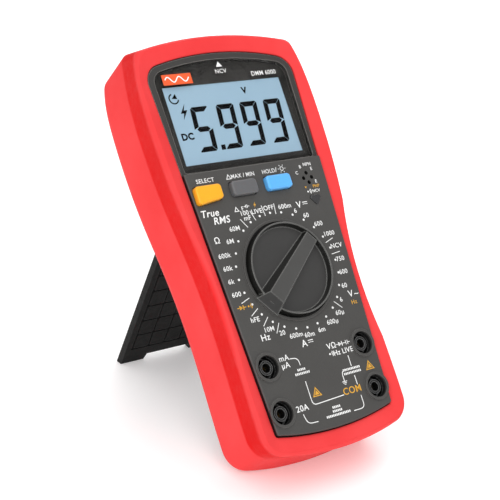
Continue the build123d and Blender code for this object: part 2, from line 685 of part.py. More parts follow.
with BuildPart() as transistor_socket:
    with BuildSketch(Plane.XY.offset(LIP_Z - 0.1)):
        with Locations(SOCKET_AT):
            Circle(SOCKET_RADIUS)
    extrude(amount=BOARD_Z - LIP_Z + 0.1)
    with BuildSketch(Plane.XY.offset(LIP_Z - 0.1)):
        with Locations(SOCKET_AT):
            with PolarLocations(SOCKET_PIN_CIRCLE, 4):
                Circle(SOCKET_PIN_RADIUS - 0.05)
    extrude(amount=-SOCKET_DEPTH, mode=Mode.SUBTRACT)

# ================================================================ input jacks
jack_sleeves = {}
jack_contacts = {}
for jack_name, jack_at in JACKS.items():
    with BuildPart() as jack_sleeve:
        with BuildSketch(Plane.XY.offset(LIP_Z - 0.05)):
            with Locations(jack_at):
                Circle(FLANGE_RADIUS)
        extrude(amount=-FLANGE_DEPTH)
        with BuildSketch(Plane.XY.offset(LIP_Z - 0.05)):
            with Locations(jack_at):
                Circle(SLEEVE_RADIUS)
        extrude(amount=-SLEEVE_LENGTH)
        with BuildSketch(Plane.XY.offset(LIP_Z - 0.05)):
            with Locations(jack_at):
                Circle(MOUTH_RADIUS)
        extrude(amount=-MOUTH_DEPTH, mode=Mode.SUBTRACT)
        with BuildSketch(Plane.XY.offset(LIP_Z - 0.05)):
            with Locations(jack_at):
                Circle(RECESS_RADIUS)
        extrude(amount=-RECESS_DEPTH, mode=Mode.SUBTRACT)
        with BuildSketch(Plane.XY.offset(JACK_MOUTH_Z)):
            with Locations(jack_at):
                Circle(POST_RADIUS)
        extrude(amount=-RECESS_DEPTH - 2.0)
        with BuildSketch(Plane.XY.offset(JACK_MOUTH_Z)):
            with Locations(jack_at):
                Circle(JACK_BORE)
        extrude(amount=-2 * SLEEVE_LENGTH, mode=Mode.SUBTRACT)
        with BuildSketch(Plane.XY.offset(JACK_MOUTH_Z - CONTACT_DROP)):
            with Locations(jack_at):
                Circle(JACK_BORE + CONTACT_WALL + 0.02)
        extrude(amount=-2 * SLEEVE_LENGTH, mode=Mode.SUBTRACT)
    jack_sleeves[jack_name] = jack_sleeve
    with BuildPart() as jack_contact:
        with BuildSketch(Plane.XY.offset(JACK_MOUTH_Z - CONTACT_DROP)):
            with Locations(jack_at):
                Circle(JACK_BORE + CONTACT_WALL)
        extrude(amount=CONTACT_DROP - JACK_DEPTH - 3.0)
        with BuildSketch(Plane.XY.offset(JACK_MOUTH_Z)):
            with Locations(jack_at):
                Circle(JACK_BORE)
        extrude(amount=-JACK_DEPTH, mode=Mode.SUBTRACT)
        with BuildSketch(Plane.XY.offset(JACK_MOUTH_Z - JACK_DEPTH - 3.0)):
            with Locations(jack_at):
                Circle(1.0)
        extrude(amount=-4.0)
    jack_contacts[jack_name] = jack_contact

# ================================================================ circuit board
with BuildPart() as main_board:
    extrude(panel_outline(-1.4, BOARD_Z), amount=-BOARD_THICKNESS)
    with BuildSketch(Plane.XY.offset(BOARD_Z)):
        with Locations(*SCREW_SITES):
            Circle(3.6)
        with Locations(*JACKS.values()):
            Circle(SLEEVE_RADIUS + 0.2)
        with Locations(*BOARD_SITES):
            Circle(1.2)
    extrude(amount=-BOARD_THICKNESS, mode=Mode.SUBTRACT)

with BuildPart() as switch_tracks:
    with BuildSketch(Plane.XY.offset(BOARD_Z)):
        for track_radius in TRACK_RADII:
            Circle(track_radius + TRACK_WIDTH / 2)
            Circle(track_radius - TRACK_WIDTH / 2, mode=Mode.SUBTRACT)
    extrude(amount=0.08)

with BuildPart() as meter_chip:
    with BuildSketch(Plane.XY.offset(BOARD_BACK_Z)):
        with Locations((0, 24)):
            Rectangle(14, 14)
    extrude(amount=-1.4)

with BuildPart() as chip_capacitors:
    with BuildSketch(Plane.XY.offset(BOARD_BACK_Z)):
        with Locations((-20, 26), (20, 26), (20, 42)):
            Circle(3.1)
    extrude(amount=-7.0)

with BuildPart() as input_thermistor:
    with BuildSketch(Plane.XZ.offset(-14.0)):
        with Locations((-20.0, BOARD_BACK_Z - 4.6)):
            Circle(4.0)
    extrude(amount=-2.4)

with BuildPart() as buzzer:
    with BuildSketch(Plane.XY.offset(BOARD_BACK_Z)):
        with Locations((0, 62)):
            Circle(7.0)
    extrude(amount=-5.5)
    with BuildSketch(Plane.XY.offset(BOARD_BACK_Z - 5.5)):
        with Locations((0, 62)):
            Circle(1.2)
    extrude(amount=1.0, mode=Mode.SUBTRACT)

with BuildPart() as field_antenna:
    with BuildSketch(Plane.XY.offset(BOARD_Z)):
        with Locations((0, 95.5)):
            Rectangle(26, 2.4)
    extrude(amount=2.6)

with BuildPart() as current_shunt:
    # thick wire bridge of the high-current input
    with BuildLine() as shunt_path:
        FilletPolyline(
            (-15.0, -35.4, BOARD_BACK_Z),
            (-15.0, -35.4, BOARD_BACK_Z - 6),
            (5.0, -35.4, BOARD_BACK_Z - 6),
            (5.0, -35.4, BOARD_BACK_Z),
            radius=2.5,
        )
    with BuildSketch(Plane(origin=shunt_path.line @ 0, z_dir=shunt_path.line % 0)):
        Circle(0.8)
    sweep(path=shunt_path.line)

fuses = {}
for fuse_name, (fuse_y, fuse_length, fuse_radius) in FUSES.items():
    with BuildPart() as fuse:
        with BuildSketch(Plane.YZ.offset(-fuse_length / 2)):
            with Locations((fuse_y, FUSE_Z)):
                Circle(fuse_radius)
        extrude(amount=fuse_length)
        # the body between the caps is slightly thinner
        with BuildSketch(Plane.YZ.offset(FUSE_CAP_LENGTH - fuse_length / 2)):
            with Locations((fuse_y, FUSE_Z)):
                Circle(fuse_radius + 0.1)
                Circle(fuse_radius - 0.25, mode=Mode.SUBTRACT)
        extrude(amount=fuse_length - 2 * FUSE_CAP_LENGTH, mode=Mode.SUBTRACT)
    fuses[fuse_name] = fuse

with BuildPart() as fuse_clips:
    for fuse_y, fuse_length, fuse_radius in FUSES.values():
        for side in (-1, 1):
            with BuildSketch(Plane.YZ.offset(side * (fuse_length / 2 - 2.6) - 1.5)):
                clip_low = FUSE_Z - 0.6 * fuse_radius
                with Locations((fuse_y, clip_low)):
                    Rectangle(
                        2 * fuse_radius + 1.2,
                        BOARD_BACK_Z - clip_low,
                        align=(Align.CENTER, Align.MIN),
                    )
                    Rectangle(2 * fuse_radius + 0.2, 40, mode=Mode.SUBTRACT)
                with Locations((fuse_y, BOARD_BACK_Z - 0.3)):
                    Rectangle(2 * fuse_radius + 1.2, 0.6)
            extrude(amount=3.0)

# ================================================================ battery
with BuildPart() as battery_cells:
    for cell_y, nub_side in zip(CELL_ROWS, (1, -1)):
        with BuildSketch(Plane.YZ.offset(-CELL_LENGTH / 2)):
            with Locations((cell_y, CELL_Z)):
                Circle(CELL_RADIUS)
        extrude(amount=CELL_LENGTH)
        with BuildSketch(Plane.YZ.offset(nub_side * CELL_LENGTH / 2)):
            with Locations((cell_y, CELL_Z)):
                Circle(2.6)
        extrude(amount=nub_side * 1.2)

with BuildPart() as battery_springs:
    for cell_y, nub_side in zip(CELL_ROWS, (1, -1)):
        with BuildSketch(Plane.YZ.offset(-nub_side * (CELL_LENGTH / 2 + 0.1))):
            with Locations((cell_y, CELL_Z)):
                Circle(3.4)
                Circle(2.8, mode=Mode.SUBTRACT)
        extrude(amount=-nub_side * 1.6)

with BuildPart() as battery_plates:
    with BuildSketch(Plane.YZ.offset(-BAY_SIZE[0] / 2 + 0.1)):
        with Locations(*[(y, CELL_Z) for y in CELL_ROWS]):
            Rectangle(11, 11)
    extrude(amount=0.5)
    mirror(about=Plane.YZ)

# ================================================================ screws
def screw(sites, seat_z, head_radius, shank_radius, length):
    """Pan-head screws with a cross recess, driven towards the panel from below."""
    with BuildSketch(Plane.XY.offset(seat_z)) as heads:
        with Locations(*sites):
            Circle(head_radius)
    extrude(heads.sketch, amount=-SCREW_HEAD_HEIGHT)
    with BuildSketch(Plane.XY.offset(seat_z)) as shanks:
        with Locations(*sites):
            Circle(shank_radius)
    extrude(shanks.sketch, amount=length)
    with BuildSketch(Plane.XY.offset(seat_z - SCREW_HEAD_HEIGHT)) as recesses:
        with Locations(*sites):
            Rectangle(head_radius * 1.1, head_radius * 0.26)
            Rectangle(head_radius * 0.26, head_radius * 1.1)
    extrude(recesses.sketch, amount=0.9, mode=Mode.SUBTRACT)


with BuildPart() as case_screws:
    screw(SCREW_SITES, PARTING_Z - 4.1, 2.5, 1.42, 11.0)

with BuildPart() as cover_screws:
    screw(COVER_SCREWS, BACK_Z + 0.95, 2.3, 1.2, 7.0)

with BuildPart() as board_screws:
    screw(BOARD_SITES, BOARD_BACK_Z - 0.05, 2.0, 0.9, 6.5)

# ================================================================ tilt stand
with BuildPart() as tilt_stand:
    with BuildSketch(stand_plane.offset(-STAND_THICKNESS / 2)) as plate:
        with Locations((0, STAND_TOP)):
            Rectangle(STAND_WIDTH, STAND_REACH, align=(Align.CENTER, Align.MAX))
        fillet(plate.vertices().sort_by(Axis.Y)[-2:], STAND_CORNER_RADIUS)
    extrude(amount=STAND_THICKNESS - PAD_HEIGHT)
    # raised border and diamond pads of the inner face
    with BuildSketch(stand_plane.offset(STAND_THICKNESS / 2 - PAD_HEIGHT)) as relief:
        with Locations((0, STAND_TOP)):
            Rectangle(STAND_WIDTH, STAND_REACH, align=(Align.CENTER, Align.MAX))
        fillet(relief.vertices().sort_by(Axis.Y)[-2:], STAND_CORNER_RADIUS)
        with Locations((0, PAD_FIELD_Y)):
            Rectangle(STAND_WIDTH - 2 * PAD_BORDER, PAD_FIELD_HEIGHT, mode=Mode.SUBTRACT)
            with GridLocations(*PAD_PITCH, PAD_COLUMNS, PAD_ROWS):
                RectangleRounded(*PAD_SIZE, PAD_CORNER_RADIUS)
    extrude(amount=PAD_HEIGHT)
    # knuckle on the pin
    with BuildSketch(stand_plane.offset(0)):
        Rectangle(KNUCKLE_LENGTH, 6.0, align=(Align.CENTER, Align.MAX))
    extrude(amount=STAND_THICKNESS / 2, both=True)
    with BuildSketch(Plane.YZ.offset(-KNUCKLE_LENGTH / 2)):
        with Locations((HINGE_Y, HINGE_Z)):
            Circle(KNUCKLE_RADIUS)
    extrude(amount=KNUCKLE_LENGTH)
    with BuildSketch(Plane.YZ.offset(-KNUCKLE_LENGTH)):
        with Locations((HINGE_Y, HINGE_Z)):
            Circle(PIN_RADIUS + 0.06)
    extrude(amount=2 * KNUCKLE_LENGTH, mode=Mode.SUBTRACT)
    # gap between the two feet, and flat soles
    gap_top, gap_foot = FOOT_GAP_HEIGHT - STAND_REACH, -FOOT_GAP_HEIGHT - STAND_REACH
    with BuildSketch(stand_plane.offset(-STAND_THICKNESS)):
        Polygon(
            (-FOOT_GAP[0] / 2, gap_top),
            (-FOOT_GAP[1] / 2, gap_foot),
            (FOOT_GAP[1] / 2, gap_foot),
            (FOOT_GAP[0] / 2, gap_top),
            align=None,
        )
    extrude(amount=2 * STAND_THICKNESS, mode=Mode.SUBTRACT)
    split(bisect_by=bench_plane, keep=Keep.TOP)

with BuildPart() as stand_pin:
    with BuildSketch(Plane.YZ.offset(-KNUCKLE_LENGTH / 2 - 5.2)):
        with Locations((HINGE_Y, HINGE_Z)):
            Circle(PIN_RADIUS)
    extrude(amount=KNUCKLE_LENGTH + 10.4)

# ================================================================ finished pieces
pieces = {
    "protective_boot": protective_boot,
    "front_case": front_case,
    "rear_case": rear_case,
    "battery_cover": battery_cover,
    "display_window": display_window,
    "window_mask": window_mask,
    "lcd_glass": lcd_glass,
    "lcd_backlight": lcd_backlight,
    "lcd_holder": lcd_holder,
    "zebra_strips": zebra_strips,
    "selector_knob": selector_knob,
    "switch_rotor": switch_rotor,
    "detent_springs": detent_springs,
    "detent_balls": detent_balls,
    "detent_ring": detent_ring,
    "retaining_clip": retaining_clip,
    "switch_wipers": switch_wipers,
    "switch_tracks": switch_tracks,
    "tact_switches": tact_switches,
    "indicator_lens": indicator_lens,
    "indicator_led": indicator_led,
    "transistor_socket": transistor_socket,
    "main_board": main_board,
    "meter_chip": meter_chip,
    "chip_capacitors": chip_capacitors,
    "input_thermistor": input_thermistor,
    "buzzer": buzzer,
    "field_antenna": field_antenna,
    "current_shunt": current_shunt,
    "fuse_clips": fuse_clips,
    "battery_cells": battery_cells,
    "battery_springs": battery_springs,
    "battery_plates": battery_plates,
    "case_screws": case_screws,
    "cover_screws": cover_screws,
    "board_screws": board_screws,
    "tilt_stand": tilt_stand,
    "stand_pin": stand_pin,
}
pieces.update(keys)
pieces.update(fuses)
for jack_name in JACKS:
    pieces[f"{jack_name}_sleeve"] = jack_sleeves[jack_name]
    pieces[f"{jack_name}_contact"] = jack_contacts[jack_name]

# Lean the meter back, stand it on z = 0 and centre its footprint on the origin.
lean_back = Location((0, 0, BENCH_DROP), (90 - LEAN, 0, 0))
leaning = Compound(children=[piece.part.moved(lean_back) for piece in pieces.values()])
shift_y = -leaning.bounding_box().center().Y
on_the_bench = Location((0, shift_y, 0)) * lean_back
print("origin shift along Y:", round(shift_y, 4))

os.makedirs("parts", exist_ok=True)
for piece_name, piece in pieces.items():
    piece.part.move(on_the_bench)
    piece.part.label = piece_name
    export_step(piece.part, f"parts/{piece_name}.step")
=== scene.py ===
"""Looks of the hand-held multimeter: materials, printed scale, display segments, lights, camera.

Details are laid out in the case frame, in millimetres: the origin is the dial's centre on the
panel, +X to the user's right, +Y towards the display and +Z out of the panel. case_to_row
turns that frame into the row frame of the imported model, in metres.
"""

import json
from math import atan2, cos, pi, radians, sin

import bmesh
import bpy
from mathutils import Matrix, Vector


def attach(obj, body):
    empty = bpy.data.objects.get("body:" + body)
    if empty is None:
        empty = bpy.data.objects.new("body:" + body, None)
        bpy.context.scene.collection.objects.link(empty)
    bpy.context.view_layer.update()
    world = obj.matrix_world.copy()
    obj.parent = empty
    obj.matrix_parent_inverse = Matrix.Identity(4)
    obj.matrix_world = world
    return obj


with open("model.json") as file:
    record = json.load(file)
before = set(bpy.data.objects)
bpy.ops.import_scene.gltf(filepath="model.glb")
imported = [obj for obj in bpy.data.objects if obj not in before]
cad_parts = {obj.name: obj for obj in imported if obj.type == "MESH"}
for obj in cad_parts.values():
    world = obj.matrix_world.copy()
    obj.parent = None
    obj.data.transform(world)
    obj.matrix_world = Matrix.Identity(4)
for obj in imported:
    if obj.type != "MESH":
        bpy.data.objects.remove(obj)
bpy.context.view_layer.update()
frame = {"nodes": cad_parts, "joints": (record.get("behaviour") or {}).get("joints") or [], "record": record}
nodes = frame["nodes"]

MM = 0.001
TOWARDS_DISPLAY = 1         # axes of the case frame
OUT_OF_PANEL = 2

# ---------------------------------------------------------------- faces and zones, case frame, mm
PANEL_Z = 0.0
WINDOW_Z = -2.2             # face of the clear window
GLASS_Z = -4.4              # face of the display glass

# Where one colour turns into the next: the start and end of the change.
BOOT_CREASE = (-15.0, -13.8)    # the boot's sides are paler below this, and darker above it: painted shade on the band below the ridge
BOOT_RIDGE = (-3.7, -1.2)       # and paler again above this, where the painted shade ends at the rim
DISPLAY_FRAME = (47.3, 47.7)    # the panel is darker beyond this line, around the window
PANEL_WELLS = (-0.6, -0.3)      # and nearly black below this height, in the wells of its holes: painted shade
KNOB_TOP = (3.1, 3.5)           # painted light: the knob's level faces are paler above this height, on the lit top of its bar

# ---------------------------------------------------------------- print, mm
DIAL_RADIUS = 25.4          # circle of the range dots
POSITIONS = 28
STEP = 360 / POSITIONS      # degrees from one position to the next
DOT_RADIUS = 0.5
RANGE_CAP = 2.1             # height of a capital in the range labels
KEY_LABEL_Y = 43.6
KEY_LABEL_CAP = 1.9
NARROW = 0.92               # stretch of letters that are set narrower than the font

PRINT_THICKNESS = 0.05
THIN_PRINT = 0.04           # thickness of the badge and of the display's segments
PRINT_SPACING = 1.07        # letter spacing
FONT_CAP = 0.73             # height of a capital in the built-in font, as a share of its size
PRINT_WEIGHT = 0.008        # how much the letters are thickened, as a share of their size
BOLD_WEIGHT = 0.014
DISPLAY_WEIGHT = 0.045
ITALIC = 0.2                # slant of the letters
LETTER_STEPS = 3            # straight steps in each curved piece of a letter

FINE_LINE = 0.25            # widths of printed lines
SIGN_LINE = 0.3
CURRENT_LINE = 0.32
EARTH_LINE = 0.28
SOCKET_LINE = 0.35
WARNING_LINE = 0.4
WAVE_LINE = 0.5
TIMER_LINE = 0.6
SHARPEST_TURN = 0.5         # cosine of half the turn beyond which a line's corner is cut short
CORNER = 2.2                # how far from its corner a line between the sockets starts to turn
BLOCK_SIZE = (0.55, 0.95)
BLOCK_PITCH = (0.85, 1.6)   # from block to block, and from row to row

# ---------------------------------------------------------------- display segments, mm
DIGIT_SIZE = (9.1, 20.4)
DIGIT_LEFT = (-21.7, -8.6, 3.7, 16.4)
DIGIT_FOOT = 57.0
DIGIT_SLANT = 0.085
SEGMENT_WIDTH = 2.3
SEGMENT_GAP = 0.10
CORNER_SHARPNESS = 0.35     # 0 cuts the digits' corners off, 1 leaves them square
POINT_LEFT = -10.6          # the decimal point
POINT_SIZE = (2.1, 2.3)

# ---------------------------------------------------------------- camera, case frame, mm
CAMERA_PLACE = (-300.9, -75.2, 407.5)
CAMERA_RIGHT = (0.80998, -0.30158, 0.50297)
CAMERA_DOWN = (-0.15720, -0.93791, -0.30922)
CAMERA_LENS = 88.28
CAMERA_NEAREST = 0.01       # metres

# ---------------------------------------------------------------- studio, row frame, metres
FLOOR_SIZE = 6.0
FLOOR_GLOW = 0.18           # a faintly lit table
SKY_STRENGTH = 0.56
LIGHTS = [                  # name, place, point it is aimed at, side of its square, watts
    ("key_light", (-0.95, -0.95, 0.95), (0, 0, 0.08), 1.6, 15.5),
    ("top_light", (0.1, -0.1, 2.0), (0, 0, 0), 1.8, 13.5),
    ("back_light", (0.9, 1.0, 0.8), (0, 0, 0.1), 1.1, 9.0),
]

# ---------------------------------------------------------------- textures
NOISE_LOW = 0.3             # nearly all of a noise lies between these
NOISE_HIGH = 0.7
NOISE_ROUGHNESS = 0.55
MOTTLE_SCALE = 55           # cells per metre, as are the other scales
MOTTLE_RANGE = (0.25, 0.75) # part of the noise in which the colour changes
GLOSS_SCALE = 420
METAL_SCALE = 900
METAL_SHADE = 0.82          # a metal's darkest tint, as a share of its colour
GLOSS_SPREAD = 0.06         # how much the roughness of a moulded surface varies
METAL_GLOSS_SPREAD = 0.08
EDGE_MARK_RADIUS = 0.0009        # metres
EDGE_MARK_SAMPLES = 4
RELIEF_SAMPLES = 6
FULL_EDGE_MARK = 0.7             # cosine between true and rounded normal where an edge's pale mark, wear and painted highlight alike, is at its full
LEVEL = (0.75, 0.9)         # cosines between which a face turns from a flank into a level one

# The dial's joint gives the case frame: its point is the origin, its axis the panel's normal.
dial_joint = next(joint for joint in frame["joints"] if joint["name"] == "selector_turn")
dial_normal = Vector(dial_joint["axis"])
case_to_row = (
    Matrix.Translation(dial_joint["pos_m"])
    @ Matrix.Rotation(atan2(-dial_normal.y, dial_normal.z), 4, "X")
    @ Matrix.Scale(MM, 4)
)


def case_axis(axis):
    """Direction of an axis of the case frame, in the row frame."""
    return case_to_row.to_3x3().col[axis].normalized()


def shade(colour, factor):
    """The colour made lighter or darker."""
    return tuple(channel * factor for channel in colour)


# ================================================================ node helpers
class Shader:
    """A material under construction, with short calls for the nodes that are used here."""

    def __init__(self, name):
        self.name = name
        self.material = bpy.data.materials.new(name)
        self.material.use_nodes = True
        self.tree = self.material.node_tree
        self.tree.nodes.clear()
        self.surface = self.node("ShaderNodeBsdfPrincipled")
        output = self.node("ShaderNodeOutputMaterial")
        self.feed(self.surface.outputs[0], output.inputs["Surface"])
        coordinates = self.node("ShaderNodeTexCoord")
        self.place = coordinates.outputs["Object"]
        self.normal = coordinates.outputs["Normal"]

    def node(self, kind):
        """A new node of this kind."""
        return self.tree.nodes.new(kind)

    def feed(self, value, target):
        """Gives an input its value: a link where that is a socket, else a plain value."""
        if isinstance(value, bpy.types.NodeSocket):
            self.tree.links.new(value, target)
        elif target.type == "RGBA":
            target.default_value = (*value, 1)
        else:
            target.default_value = value

    def set(self, **values):
        """Feeds the surface's inputs, named with _ for a space."""
        for name, value in values.items():
            self.feed(value, self.surface.inputs[name.replace("_", " ")])
        return self

    def texture(self, kind, scale, where=None):
        """A texture of this kind, at so many cells per metre."""
        texture = self.node(kind)
        texture.inputs["Scale"].default_value = scale
        self.feed(self.place if where is None else where, texture.inputs["Vector"])
        return texture

    def noise(self, scale, detail=3.0, density=(1, 1, 1)):
        """Noise at so many cells per metre, times the density along each axis."""
        mapping = self.node("ShaderNodeMapping")
        mapping.inputs["Scale"].default_value = density
        self.feed(self.place, mapping.inputs["Vector"])
        noise = self.texture("ShaderNodeTexNoise", scale, mapping.outputs[0])
        noise.inputs["Detail"].default_value = detail
        noise.inputs["Roughness"].default_value = NOISE_ROUGHNESS
        return noise.outputs["Fac"]

    def cells(self, scale):
        """Distance to the nearest of randomly spread points, for spark-eroded moulded grain."""
        return self.texture("ShaderNodeTexVoronoi", scale).outputs["Distance"]

    def span(self, source, low, high, from_low=NOISE_LOW, from_high=NOISE_HIGH):
        """Maps a value from one range to another."""
        span = self.node("ShaderNodeMapRange")
        span.inputs["From Min"].default_value = from_low
        span.inputs["From Max"].default_value = from_high
        span.inputs["To Min"].default_value = low
        span.inputs["To Max"].default_value = high
        self.feed(source, span.inputs["Value"])
        return span.outputs["Result"]

    def ramp(self, source, first, second, start=NOISE_LOW, end=NOISE_HIGH):
        """Goes from one plain colour to another as the source goes from start to end."""
        ramp = self.node("ShaderNodeValToRGB")
        stops = ramp.color_ramp.elements
        for stop, position, colour in ((stops[0], start, first), (stops[1], end, second)):
            stop.position = position
            stop.color = (*colour, 1)
        self.feed(source, ramp.inputs["Fac"])
        return ramp.outputs["Color"]

    def mix(self, factor, first, second):
        """Blends two colours by a factor; either may be a plain colour or a socket."""
        mix = self.node("ShaderNodeMix")
        mix.data_type = "RGBA"
        self.feed(factor, mix.inputs["Factor"])
        self.feed(first, mix.inputs["A"])
        self.feed(second, mix.inputs["B"])
        return mix.outputs["Result"]

    def dot(self, first, second):
        """Dot product of a vector socket with another one or with a plain vector."""
        dot = self.node("ShaderNodeVectorMath")
        dot.operation = "DOT_PRODUCT"
        self.feed(first, dot.inputs[0])
        self.feed(second, dot.inputs[1])
        return dot.outputs["Value"]

    def beyond(self, axis, start, end):
        """Rises from 0 to 1 between two places along an axis of the case frame, in mm."""
        direction = case_axis(axis)
        origin = direction.dot(case_to_row.translation)
        where = self.dot(self.place, direction)
        return self.span(where, 0.0, 1.0, origin + start * MM, origin + end * MM)

    def level(self):
        """1 on faces that lie level with the panel, 0 on flanks and walls."""
        return self.span(self.dot(self.normal, case_axis(OUT_OF_PANEL)), 0.0, 1.0, *LEVEL)

    def rounded_normal(self, radius, samples):
        """The normal that the surface would have if its edges were rounded."""
        bevel = self.node("ShaderNodeBevel")
        bevel.samples = samples
        bevel.inputs["Radius"].default_value = radius
        return bevel.outputs[0]

    def edge_wear_and_highlight(self, radius=EDGE_MARK_RADIUS):
        """About 0 on flat surfaces and 1 on edges that are sharper than the radius; it places both wear and
        painted highlights.
        """
        normal = self.node("ShaderNodeNewGeometry").outputs["Normal"]
        lean = self.dot(self.rounded_normal(radius, EDGE_MARK_SAMPLES), normal)
        return self.span(lean, 1.0, 0.0, FULL_EDGE_MARK, 1.0)

    def relief(self, source, depth, soft_edges=0.0):
        """Bumps the surface by depth metres; soft_edges rounds the look of sharp edges."""
        bump = self.node("ShaderNodeBump")
        bump.inputs["Strength"].default_value = 1.0
        bump.inputs["Distance"].default_value = depth
        self.feed(source, bump.inputs["Height"])
        if soft_edges:
            self.feed(self.rounded_normal(soft_edges, RELIEF_SAMPLES), bump.inputs["Normal"])
        return self.set(Normal=bump.outputs[0])

    def mottled(self, colour, spread=0.12):
        """A colour with faint, slow changes in lightness."""
        darker, lighter = shade(colour, 1 - spread), shade(colour, 1 + spread)
        return self.ramp(self.noise(MOTTLE_SCALE, 4), darker, lighter, *MOTTLE_RANGE)

    def mould(self, body, roughness, grain, depth, soft_edges=0.0):
        """Moulded plastic or rubber: a body colour under fine grain, with uneven gloss."""
        low, high = roughness - GLOSS_SPREAD, roughness + GLOSS_SPREAD
        self.set(Base_Color=body, Roughness=self.span(self.noise(GLOSS_SCALE, 2), low, high))
        return self.relief(self.cells(grain), depth, soft_edges)


# ================================================================ materials
def moulded(name, colour, roughness, grain, depth, soft_edges=0.0, edge_colour=None, spread=0.12):
    """Moulded plastic or rubber in one colour, turned to edge_colour on its edges, as wear and, on some
    parts, a painted highlight.
    """
    shader = Shader(name)
    body = shader.mottled(colour, spread)
    if edge_colour:
        body = shader.mix(shader.edge_wear_and_highlight(), body, edge_colour)
    return shader.mould(body, roughness, grain, depth, soft_edges)


def metal(name, colour, roughness, density=(1, 1, 1)):
    """Drawn or plated metal; a high density along one axis turns its grain into fine lines."""
    shader = Shader(name)
    grain = shader.noise(METAL_SCALE, 2, density)
    gloss = shader.span(grain, roughness - METAL_GLOSS_SPREAD, roughness + METAL_GLOSS_SPREAD)
    tint = shader.ramp(grain, shade(colour, METAL_SHADE), colour)
    shader.set(Base_Color=tint, Roughness=gloss, Metallic=1.0)
    return shader.relief(grain, 0.00001)


def silicone(name, colour, edge_colour):
    """Soft key: satin silicone that is paler on its rounded edges."""
    shader = moulded(name, colour, 0.42, 2600, 0.00002, edge_colour=edge_colour, spread=0.04)
    return shader.set(Subsurface_Weight=0.08, Subsurface_Scale=0.001, Sheen_Weight=0.1)


def boot_rubber():
    """Red rubber: the bevel between rim and flank is painted deep red as shade; the rest is paler, its red
    lifted by a painted sheen.
    """
    shader = Shader("boot_rubber")
    mottle = shader.noise(40, 3)
    # the rubber's own red, made paler by a painted sheen
    satin = shader.ramp(mottle, (0.79, 0.046, 0.048), (0.84, 0.062, 0.064))
    # painted shade: the darker red of the band between crease and ridge
    painted_shade_red = shader.ramp(mottle, (0.68, 0.001, 0.001), (0.72, 0.003, 0.003))
    above_crease = shader.mix(shader.beyond(OUT_OF_PANEL, *BOOT_RIDGE), painted_shade_red, satin)
    body = shader.mix(shader.beyond(OUT_OF_PANEL, *BOOT_CREASE), satin, above_crease)
    shader.mould(body, 0.50, 2600, 0.00004, 0.0012)
    return shader.set(Specular_IOR_Level=0.08)


def panel_plastic():
    """Charcoal panel with spark-eroded grain, darker in the display's frame, with painted shade in the wells
    and edges paled by wear and a painted highlight.
    """
    shader = Shader("panel_plastic")
    in_frame = shader.beyond(TOWARDS_DISPLAY, *DISPLAY_FRAME)
    out_of_wells = shader.beyond(OUT_OF_PANEL, *PANEL_WELLS)
    face = shader.mottled((0.054, 0.052, 0.049), 0.074)
    # painted shade: the panel turns nearly black down in the wells of its holes
    face = shader.mix(out_of_wells, (0.010, 0.010, 0.010), face)
    body = shader.mix(in_frame, face, shader.mottled((0.028, 0.027, 0.025), 0.07))
    # pale edges: wear, and a painted highlight, much paler along the edges of the display's frame
    wear_and_highlight = shader.mix(in_frame, (0.12, 0.115, 0.11), (0.40, 0.38, 0.35))
    body = shader.mix(shader.edge_wear_and_highlight(0.0004), body, wear_and_highlight)
    shader.mould(body, 0.50, 3000, 0.00005, 0.0004)
    return shader.set(Specular_IOR_Level=0.5)


def knob_plastic():
    """Satin charcoal knob: painted shade on its flanks, painted light on the top of its bar, and a painted
    highlight along its edges.
    """
    shader = Shader("knob_plastic")
    dish = shader.mottled((0.036, 0.035, 0.034))
    # painted light: the top of the knob's bar is paler than its dish
    top = shader.mottled((0.056, 0.055, 0.053))
    level_face = shader.mix(shader.beyond(OUT_OF_PANEL, *KNOB_TOP), dish, top)
    # painted shade: flanks and walls are nearly black
    body = shader.mix(shader.level(), shader.mottled((0.009, 0.009, 0.008)), level_face)
    # painted highlight: pale edges
    body = shader.mix(shader.edge_wear_and_highlight(), body, (0.20, 0.20, 0.19))
    shader.mould(body, 0.38, 3200, 0.00003, 0.0005)
    return shader.set(Specular_IOR_Level=0.5)


def stand_plastic():
    """Matte black stand with grain in its pads, and a painted highlight on its edges."""
    # painted highlight: the stand's edges are paler than its body
    shader = moulded(
        "stand_plastic", (0.0045, 0.0042, 0.0038), 0.6, 2200, 0.00006, 0.0005, (0.024, 0.024, 0.024)
    )
    return shader.set(Specular_IOR_Level=0.18)


def jack_plastic():
    """Black socket sleeves with a painted highlight on their edges."""
    # painted highlight: the sleeves' edges are pale grey
    shader = moulded(
        "jack_plastic", (0.004, 0.004, 0.004), 0.40, 3000, 0.00002, 0.0003, (0.22, 0.22, 0.22)
    )
    return shader.set(Specular_IOR_Level=0.2)


def display_ink():
    """Dead black segments without shine."""
    shader = moulded("display_ink", (0.003, 0.003, 0.004), 0.5, 4000, 0.000002)
    return shader.set(Specular_IOR_Level=0.05)


def lcd_panel():
    """Display glass lit from behind, a little uneven."""
    shader = Shader("lcd_panel")
    glow = shader.ramp(shader.noise(14, 1), (0.31, 0.46, 0.58), (0.34, 0.49, 0.61))
    gloss = shader.span(shader.noise(600), 0.3, 0.36)
    shader.set(Base_Color=glow, Emission_Color=glow, Roughness=gloss)
    shader.set(Emission_Strength=0.12, Specular_IOR_Level=0.2)
    return shader.relief(shader.noise(3000), 0.000004)


def clear_window():
    """Clear acrylic window with faint haze."""
    shader = Shader("clear_window")
    haze = shader.span(shader.noise(80), 0.0, 0.02)
    return shader.set(Base_Color=(1, 1, 1), IOR=1.12, Transmission_Weight=1.0, Roughness=haze)


def clear_resin():
    """Clear lamp body with a pale tint."""
    shader = Shader("clear_resin")
    haze = shader.span(shader.noise(300), 0.05, 0.15)
    return shader.set(
        Base_Color=(0.9, 0.93, 0.95), IOR=1.5, Transmission_Weight=0.9, Roughness=haze
    )


